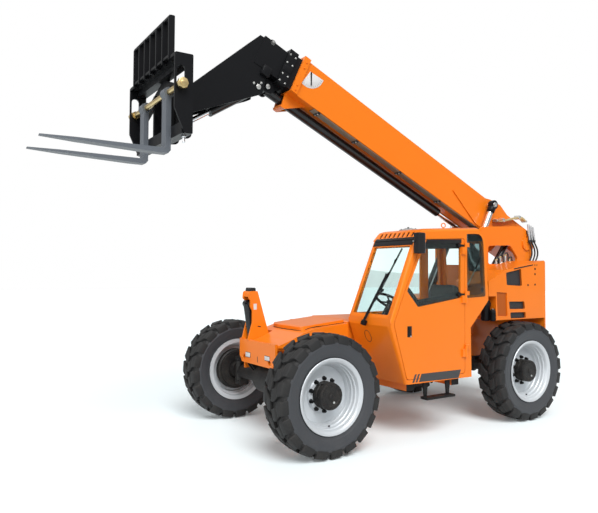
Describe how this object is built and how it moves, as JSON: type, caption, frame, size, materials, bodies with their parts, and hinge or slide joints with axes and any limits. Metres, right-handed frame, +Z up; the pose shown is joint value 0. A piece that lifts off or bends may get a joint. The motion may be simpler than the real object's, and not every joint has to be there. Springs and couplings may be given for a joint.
{
  "type": "telescopic handler",
  "caption": "Orange rough-terrain telescopic handler with a raised three-section boom, pallet forks, side cab and four lugged tyres.",
  "frame": {"origin": "ground under the middle of the outline", "axes": "+X forward to the fork tips, +Y left to the cab side, +Z up"},
  "size_m": [7.3037, 2.5253, 4.6425],
  "materials": {
    "orange_paint": "gloss",
    "black_paint": "satin",
    "grey_steel": "satin",
    "chrome_rod": "polished",
    "plated_steel": "satin",
    "cast_black": "satin",
    "tyre_rubber": "matte",
    "wheel_paint": "satin",
    "hose_rubber": "matte",
    "seat_trim": "matte",
    "tinted_glass": "gloss"
  },
  "bodies": {
    "chassis": {"main_frame": "orange_paint", "tower_left": "orange_paint", "tower_right": "orange_paint", "front_hood": "orange_paint", "mid_cover": "orange_paint", "sway_cylinder": "black_paint", "front_axle": "cast_black", "rear_axle": "cast_black", "engine": "cast_black", "rear_cover_left": "orange_paint", "rear_cover_right": "orange_paint", "cover_meshes": "black_paint", "counterweight": "orange_paint", "side_tank": "orange_paint", "filter_canister": "black_paint", "tail_hoses": "hose_rubber", "cab_shell": "orange_paint", "cab_roof": "orange_paint", "cab_glass": "tinted_glass", "seat": "seat_trim", "steering_column": "seat_trim", "cab_fittings": "seat_trim", "cab_step": "black_paint"},
    "door": {"cab_door": "orange_paint", "door_glass": "tinted_glass"},
    "boom": {"boom_outer": "orange_paint", "boom_lines": "chrome_rod"},
    "boom_middle": {"boom_mid": "black_paint", "extend_barrel": "black_paint"},
    "boom_inner": {"boom_fly": "black_paint"},
    "tilt_cylinder": {"tilt_barrel": "black_paint"},
    "tilt_piston": {"tilt_rod": "chrome_rod"},
    "fork_carriage": {"coupler": "black_paint", "carriage": "black_paint", "fork_shaft": "plated_steel", "forks": "grey_steel"},
    "lift_cylinders": {"lift_barrels": "black_paint"},
    "lift_pistons": {"lift_rods": "chrome_rod"},
    "slave_cylinder": {"slave_barrel": "black_paint"},
    "slave_piston": {"slave_rod": "chrome_rod"},
    "hub_fl": {"knuckle_fl": "cast_black"},
    "roadwheel_fl": {"tyre_fl": "tyre_rubber", "wheel_fl": "wheel_paint"},
    "hub_fr": {"knuckle_fr": "cast_black"},
    "roadwheel_fr": {"tyre_fr": "tyre_rubber", "wheel_fr": "wheel_paint"},
    "hub_rl": {"knuckle_rl": "cast_black"},
    "roadwheel_rl": {"tyre_rl": "tyre_rubber", "wheel_rl": "wheel_paint"},
    "hub_rr": {"knuckle_rr": "cast_black"},
    "roadwheel_rr": {"tyre_rr": "tyre_rubber", "wheel_rr": "wheel_paint"}
  },
  "joints": [
    {"name": "boom_lift", "type": "hinge", "parent": "chassis", "child": "boom", "pos_m": [-3.13, 0, 2.34], "axis": [0, -1, 0], "range_deg": [-29.5, 45.5]},
    {"name": "boom_extend", "type": "slide", "parent": "boom", "child": "boom_middle", "axis": [0.91, 0, 0.4147], "range_m": [0, 2.9]},
    {"name": "boom_extend_inner", "type": "slide", "parent": "boom_middle", "child": "boom_inner", "axis": [0.91, 0, 0.4147], "range_m": [0, 2.9]},
    {"name": "fork_tilt", "type": "hinge", "parent": "boom_inner", "child": "fork_carriage", "pos_m": [2.215, 0, 3.705], "axis": [0, 1, 0], "range_deg": [-35, 60]},
    {"name": "tilt_cylinder_swing", "type": "hinge", "parent": "boom_inner", "child": "tilt_cylinder", "pos_m": [1.297, 0, 4.026], "axis": [0, 1, 0], "range_deg": [-3, 4]},
    {"name": "tilt_cylinder_stroke", "type": "slide", "parent": "tilt_cylinder", "child": "tilt_piston", "axis": [0.851, 0, -0.5251], "range_m": [-0.23, 0.14]},
    {"name": "lift_cylinder_swing", "type": "hinge", "parent": "chassis", "child": "lift_cylinders", "pos_m": [-1.55, 0, 1.054], "axis": [0, -1, 0], "range_deg": [-5, 7]},
    {"name": "lift_cylinder_stroke", "type": "slide", "parent": "lift_cylinders", "child": "lift_pistons", "axis": [-0.4763, 0, 0.8793], "range_m": [-0.39, 0.6]},
    {"name": "slave_cylinder_swing", "type": "hinge", "parent": "chassis", "child": "slave_cylinder", "pos_m": [-2.52, 0.3, 1.93], "axis": [0, -1, 0], "range_deg": [-3, 4.5]},
    {"name": "slave_cylinder_stroke", "type": "slide", "parent": "slave_cylinder", "child": "slave_piston", "axis": [-0.6205, 0, 0.7842], "range_m": [-0.12, 0.18]},
    {"name": "steer_fl", "type": "hinge", "parent": "chassis", "child": "hub_fl", "pos_m": [1, 0.8, 0.635], "axis": [0, 0, 1], "range_deg": [-35, 35]},
    {"name": "steer_fr", "type": "hinge", "parent": "chassis", "child": "hub_fr", "pos_m": [1, -0.8, 0.635], "axis": [0, 0, 1], "range_deg": [-35, 35]},
    {"name": "steer_rl", "type": "hinge", "parent": "chassis", "child": "hub_rl", "pos_m": [-2.16, 0.8, 0.635], "axis": [0, 0, -1], "range_deg": [-35, 35]},
    {"name": "steer_rr", "type": "hinge", "parent": "chassis", "child": "hub_rr", "pos_m": [-2.16, -0.8, 0.635], "axis": [0, 0, -1], "range_deg": [-35, 35]},
    {"name": "spin_fl", "type": "hinge", "parent": "hub_fl", "child": "roadwheel_fl", "pos_m": [1, 1.055, 0.635], "axis": [0, 1, 0], "continuous": true},
    {"name": "spin_fr", "type": "hinge", "parent": "hub_fr", "child": "roadwheel_fr", "pos_m": [1, -1.055, 0.635], "axis": [0, 1, 0], "continuous": true},
    {"name": "spin_rl", "type": "hinge", "parent": "hub_rl", "child": "roadwheel_rl", "pos_m": [-2.16, 1.055, 0.635], "axis": [0, 1, 0], "continuous": true},
    {"name": "spin_rr", "type": "hinge", "parent": "hub_rr", "child": "roadwheel_rr", "pos_m": [-2.16, -1.055, 0.635], "axis": [0, 1, 0], "continuous": true},
    {"name": "door_open", "type": "hinge", "parent": "chassis", "child": "door", "pos_m": [-0.99, 1.19, 1.5], "axis": [0, 0, 1], "range_deg": [0, 100]}
  ],
  "couplings": [
    {"joint": "boom_extend_inner", "follows": "boom_extend", "ratio": 1},
    {"joint": "tilt_cylinder_swing", "follows": "fork_tilt", "ratio": 0.05},
    {"joint": "tilt_cylinder_stroke", "follows": "fork_tilt", "m_per_rad": -0.21},
    {"joint": "lift_cylinder_swing", "follows": "boom_lift", "ratio": 0.14},
    {"joint": "lift_cylinder_stroke", "follows": "boom_lift", "m_per_rad": 0.74},
    {"joint": "slave_cylinder_swing", "follows": "boom_lift", "ratio": 0.08},
    {"joint": "slave_cylinder_stroke", "follows": "boom_lift", "m_per_rad": 0.21},
    {"joint": "steer_fr", "follows": "steer_fl", "ratio": 1},
    {"joint": "steer_rr", "follows": "steer_rl", "ratio": 1}
  ]
}
